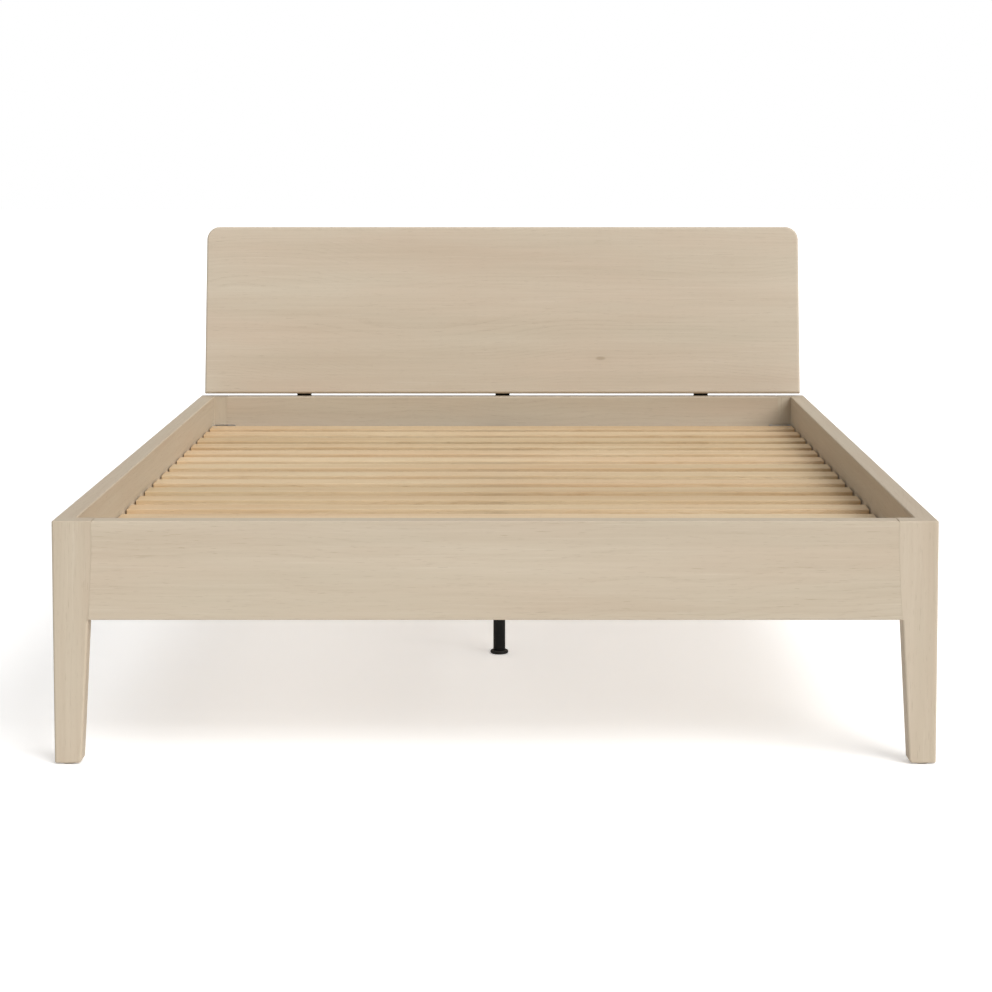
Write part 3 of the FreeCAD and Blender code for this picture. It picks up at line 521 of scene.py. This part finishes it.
# ---------------------------------------------------------------------------------------------
# Zinc-plated steel: pressed corner irons, bolts, inserts, screws and tacks, bright with a faint
# blue and yellow passivation and fine rolling marks.

ZINC_BLUE = (0.62, 0.635, 0.66, 1.0)
ZINC_YELLOW = (0.67, 0.655, 0.60, 1.0)
ZINC_DULL = (0.40, 0.405, 0.41, 1.0)


def zinc_material(name, marks):
    """Zinc plating; marks is how fine its rolling marks are on each axis, per metre."""
    material, tree, shader = new_material(name)
    place = add_node(tree, "ShaderNodeTexCoord").outputs["Object"]
    spangle = stretched_noise(tree, place, (210.0, 210.0, 210.0), 3.0)
    tint = stretched_noise(tree, place, (36.0, 36.0, 36.0), 2.0)
    rolling = stretched_noise(tree, place, marks, 2.0)
    bright = blend_colour(tree, remap(tree, tint, 0.4, 0.65), ZINC_BLUE, ZINC_YELLOW)
    plating = blend_colour(tree, remap(tree, spangle, 0.45, 0.8, 0.0, 0.5), bright, ZINC_DULL)
    tree.links.new(plating, shader.inputs["Base Color"])
    tree.links.new(sums(tree, "MULTIPLY_ADD", rolling, 0.24, 0.24), shader.inputs["Roughness"])
    join_relief(tree, shader, rolling, 0.25, 0.0001)
    shader.inputs["Metallic"].default_value = 1.0
    return material


zinc_plate = zinc_material("zinc_plate", (900.0, 900.0, 60.0))
zinc_fastener = zinc_material("zinc_fastener", (400.0, 400.0, 400.0))
for node in ("corner_iron_foot_left", "corner_iron_foot_right", "corner_iron_head_left",
             "corner_iron_head_right"):
    dress(node, zinc_plate)
for node in ("corner_inserts", "corner_bolts", "headboard_inserts", "headboard_bolts", "support_plate_bolts",
             "webbing_tacks"):
    dress(node, zinc_fastener)

# ---------------------------------------------------------------------------------------------
# Wood screws: countersunk, cross-recessed and zinc plated, with a coarse rolled thread and a
# point. They hold the corner irons, beam hangers, ledges and the two outermost slats.

SCREW_HEAD_RADIUS = 0.0046
SCREW_RADIUS = 0.00225
SCREW_CORE = 0.0015
SCREW_PITCH = 0.0024
SCREW_POINT = 0.006
SCREW_STEPS = 12
THREAD_START = 0.0024    # just inside the head's throat
HEAD_LAND = 0.00025
HEAD_STEPS = 32
SCREW_TURN = 0.9         # from one screw's recess to the next, in radians
ROWS_A_TURN = 4
WELD_REACH = 1e-6


def add_thread(shape, turn, length, core, crest, pitch, steps, tip=0.0):
    """A closed right-hand thread that runs down from the origin of a turn matrix."""
    rows = ROWS_A_TURN * (math.ceil(length / pitch) + 1)
    columns = []
    for step in range(steps):
        angle = -2.0 * math.pi * step / steps
        column = []
        for row in range(rows + 1):
            depth = (row / ROWS_A_TURN + step / steps - 1.0) * pitch
            radius = crest if row % ROWS_A_TURN in (1, 2) and 0.0 < depth < length else core
            depth = min(max(depth, 0.0), length)
            if tip:
                radius *= min(1.0, (length - depth) / tip + 0.08)
            spot = Vector((radius * math.cos(angle), radius * math.sin(angle), -depth))
            column.append(shape.verts.new(turn @ spot))
        columns.append(column)
    for step, here in enumerate(columns):
        there = columns[(step + 1) % steps]
        lift = ROWS_A_TURN if step == steps - 1 else 0
        for row in range(rows - lift):
            shape.faces.new((here[row], here[row + 1], there[row + 1 + lift], there[row + lift]))
    made = [vert for column in columns for vert in column]
    bmesh.ops.remove_doubles(shape, verts=made, dist=WELD_REACH)
    made = [vert for vert in made if vert.is_valid]
    rims = list({edge for vert in made for edge in vert.link_edges if edge.is_boundary})
    bmesh.ops.holes_fill(shape, edges=rims, sides=0)


def add_wall(shape, upper, lower):
    """Joins two rings of as many corners."""
    for number, corner in enumerate(upper):
        following = (number + 1) % len(upper)
        shape.faces.new((corner, lower[number], lower[following], upper[following]))


def add_screw_head(shape, turn, radius, neck):
    """A countersunk head with a cross recess; its face is at the origin of a turn matrix."""
    depth = radius - neck

    def ring(size, level):
        angles = [2.0 * math.pi * step / HEAD_STEPS for step in range(HEAD_STEPS)]
        return [shape.verts.new(turn @ Vector((size * math.cos(angle), size * math.sin(angle), level)))
                for angle in angles]

    face_rim, belt, throat = ring(radius, 0.0), ring(radius, -HEAD_LAND), ring(neck, -depth - HEAD_LAND)
    add_wall(shape, face_rim, belt)
    add_wall(shape, belt, throat)
    shape.faces.new(reversed(throat))
    arm, web = 0.52 * radius, 0.15 * radius
    cross = [(arm, web), (web, web), (web, arm), (-web, arm), (-web, web), (-arm, web),
             (-arm, -web), (-web, -web), (-web, -arm), (web, -arm), (web, -web), (arm, -web)]
    mouth = [shape.verts.new(turn @ Vector((x, y, 0.0))) for x, y in cross]
    narrowed = [(0.55 * x, 0.55 * y) for x, y in cross]
    floor = [shape.verts.new(turn @ Vector((x, y, -0.8 * depth))) for x, y in narrowed]
    add_wall(shape, floor, mouth)
    shape.faces.new(floor)
    loops = [shape.edges.get((loop[n], loop[(n + 1) % len(loop)])) for loop in (face_rim, mouth)
             for n in range(len(loop))]
    bmesh.ops.triangle_fill(shape, edges=loops, use_beauty=True)


def separate_solids(node):
    """The corner points of each separate solid in a CAD node."""
    shape = bmesh.new()
    shape.from_mesh(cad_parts[node].data)
    bmesh.ops.remove_doubles(shape, verts=shape.verts, dist=WELD_REACH)
    left = set(shape.verts)
    solids = []
    while left:
        reached = [min(left, key=lambda vert: vert.index)]
        left.discard(reached[0])
        for vert in reached:
            for edge in vert.link_edges:
                other = edge.other_vert(vert)
                if other in left:
                    left.discard(other)
                    reached.append(other)
        solids.append([vert.co.copy() for vert in reached])
    shape.free()
    return solids


def screw_frame(corners):
    """Where a screw's head is, which way it faces and its length, from its plain solid's corners."""
    low = Vector([min(corner[axis] for corner in corners) for axis in range(3)])
    high = Vector([max(corner[axis] for corner in corners) for axis in range(3)])
    spans = high - low
    axis = max(range(3), key=lambda number: spans[number])
    middle = (low + high) / 2.0
    along = Vector([float(number == axis) for number in range(3)])

    def girth(end):
        """The widest radius close to one end, which is 1 or -1."""
        offsets = [corner - middle for corner in corners]
        return max((offset - offset[axis] * along).length for offset in offsets
                   if end * offset[axis] > 0.45 * spans[axis])

    way = along if girth(1) > girth(-1) else -along
    return middle + way * (spans[axis] / 2.0), way, spans[axis]


def finish_piece(name, shape, material, stands_for):
    bmesh.ops.recalc_face_normals(shape, faces=shape.faces)
    mesh = bpy.data.meshes.new(name)
    shape.to_mesh(mesh)
    shape.free()
    mesh.materials.append(material)
    mesh.shade_smooth()
    mesh.set_sharp_from_angle(angle=math.radians(34.0))
    piece = bpy.data.objects.new(name, mesh)
    scene.collection.objects.link(piece)
    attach(piece, "bed_frame")
    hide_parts(stands_for)


for node in ("corner_iron_screws", "hanger_screws", "ledge_screws", "slat_screws"):
    screw_shape = bmesh.new()
    for number, corners in enumerate(separate_solids(node)):
        head, way, reach = screw_frame(corners)
        spin = Matrix.Rotation(SCREW_TURN * number, 4, "Z")
        turn = Matrix.Translation(head) @ way.to_track_quat("Z", "Y").to_matrix().to_4x4() @ spin
        add_screw_head(screw_shape, turn, SCREW_HEAD_RADIUS, SCREW_RADIUS)
        throat = turn @ Matrix.Translation((0.0, 0.0, -THREAD_START))
        add_thread(screw_shape, throat, reach - THREAD_START, SCREW_CORE, SCREW_RADIUS, SCREW_PITCH,
                   SCREW_STEPS, SCREW_POINT)
    finish_piece(node + "_threaded", screw_shape, zinc_fastener, node)

# ---------------------------------------------------------------------------------------------
# Support stud: an M10 threaded rod, 1.5 mm a turn, zinc plated. It is welded up into the support
# plate, and the leg screws up and down on it.

STUD_PITCH = 0.0015
STUD_THREAD_DEPTH = 0.00092
STUD_STEPS = 28

stud_low, stud_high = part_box("support_stud")
stud_middle = (stud_low + stud_high) / 2.0
stud_radius = (stud_high.x - stud_low.x) / 2.0
stud_top = Matrix.Translation((stud_middle.x, stud_middle.y, stud_high.z))
stud_shape = bmesh.new()
add_thread(stud_shape, stud_top, stud_high.z - stud_low.z, stud_radius - STUD_THREAD_DEPTH, stud_radius,
           STUD_PITCH, STUD_STEPS)
finish_piece("support_stud_threaded", stud_shape, zinc_fastener, "support_stud")

# ---------------------------------------------------------------------------------------------
# Webbing: two woven polyester bands run under the slats and space them; a round-headed tack
# holds each crossing. Between slats the band hangs a little slack.

WEBBING = (0.560, 0.545, 0.500, 1.0)
# painted shade for the hollows of the weave
WEBBING_HOLLOW_SHADE = (0.40, 0.385, 0.35, 1.0)
WEBBING_SOIL = (0.36, 0.34, 0.30, 1.0)
WARP_WIDTH = 0.0016
WEFT_WIDTH = 0.0024
BAND_THICKNESS = 0.0012
BAND_STATIONS = 300
BAND_STEPS = 10
SELVEDGE = 0.0012
SELVEDGE_ROUND = 0.72    # fullness of the band's outermost points, of its weave; its selvedges are 1
WEAVE_FULLNESS = 0.80
SLACK = 0.0026


def webbing_material():
    """Plain weave of flat threads, with painted shade in the weave's hollows, a little soiled along its
    length.
    """
    material, tree, shader = new_material("woven_webbing")
    place = add_node(tree, "ShaderNodeTexCoord").outputs["Object"]
    parts = add_node(tree, "ShaderNodeSeparateXYZ", {0: place})
    warp = sums(tree, "SINE", sums(tree, "MULTIPLY", parts.outputs["X"], 2.0 * math.pi / WARP_WIDTH))
    weft = sums(tree, "SINE", sums(tree, "MULTIPLY", parts.outputs["Y"], 2.0 * math.pi / WEFT_WIDTH))
    lift = remap(tree, sums(tree, "MULTIPLY", warp, weft), -1.0, 1.0)
    soil = stretched_noise(tree, place, (30.0, 12.0, 30.0), 4.0)
    # painted shade: the weave's low points are darkened
    shade = blend_colour(tree, lift, WEBBING_HOLLOW_SHADE, WEBBING)
    shade = blend_colour(tree, remap(tree, soil, 0.45, 0.85, 0.0, 0.35), shade, WEBBING_SOIL)
    tree.links.new(shade, shader.inputs["Base Color"])
    tree.links.new(remap(tree, lift, 0.0, 1.0, 0.92, 0.78), shader.inputs["Roughness"])
    join_relief(tree, shader, lift, 0.6, 0.0004)
    shader.inputs["Sheen Weight"].default_value = 0.25
    shader.inputs["Sheen Roughness"].default_value = 0.5
    return material


slat_edges = [(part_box(name)[0].y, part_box(name)[1].y) for name in slat_names]


def band_drop(y):
    """How far the band hangs below the slats' undersides at a place along the bed."""
    for (_, start), (end, _) in zip(slat_edges, slat_edges[1:]):
        if start < y < end:
            return SLACK * math.sin(math.pi * (y - start) / (end - start)) ** 1.4
    return 0.0


def band_section(half_width):
    """Places across the band, with its fullness there: a weave between two fuller selvedges."""
    edge = [(-half_width + SELVEDGE * 0.25, SELVEDGE_ROUND), (-half_width + SELVEDGE, 1.0)]
    inner = half_width - SELVEDGE * 1.6
    weave = [(-inner + 2.0 * inner * step / BAND_STEPS, WEAVE_FULLNESS) for step in range(BAND_STEPS + 1)]
    return edge + weave + [(-across, full) for across, full in reversed(edge)]


woven = webbing_material()
for node in ("webbing_left", "webbing_right"):
    low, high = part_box(node)
    middle_x, half_width = (low.x + high.x) / 2.0, (high.x - low.x) / 2.0
    section = band_section(half_width)
    band_shape = bmesh.new()
    rows = []
    for station in range(BAND_STATIONS + 1):
        y = low.y + (high.y - low.y) * station / BAND_STATIONS
        centre = high.z - BAND_THICKNESS / 2.0 - band_drop(y)
        upper = [(across, centre + BAND_THICKNESS / 2.0 * full) for across, full in section]
        lower = [(across, centre - BAND_THICKNESS / 2.0 * full) for across, full in reversed(section)]
        outline = upper + [(half_width, centre)] + lower + [(-half_width, centre)]
        rows.append([band_shape.verts.new((middle_x + across, y, z)) for across, z in outline])
    for near, far in zip(rows, rows[1:]):
        add_wall(band_shape, near, far)
    band_shape.faces.new(rows[0])
    band_shape.faces.new(reversed(rows[-1]))
    finish_piece(node + "_woven", band_shape, woven, node)

# ---------------------------------------------------------------------------------------------
# Dowels: beech pegs in the joints of legs and rails, glued into one side. They show only while
# the bed is taken apart.

BEECH = {"Early Wood": (0.66, 0.47, 0.31, 1.0), "Late Wood": (0.52, 0.34, 0.20, 1.0),
         "Pore": (0.30, 0.18, 0.10, 1.0), "Pale Streak": (0.72, 0.55, 0.39, 1.0)}
for node, grain, dowel_seed in (("end_rail_dowels", "X", 120.0), ("side_rail_dowels", "Y", 121.0)):
    dress_board(node, "beech", BEECH, grain, dowel_seed, 0.002, 0.05, 0.0, gloss=0.0, bump=0.3)
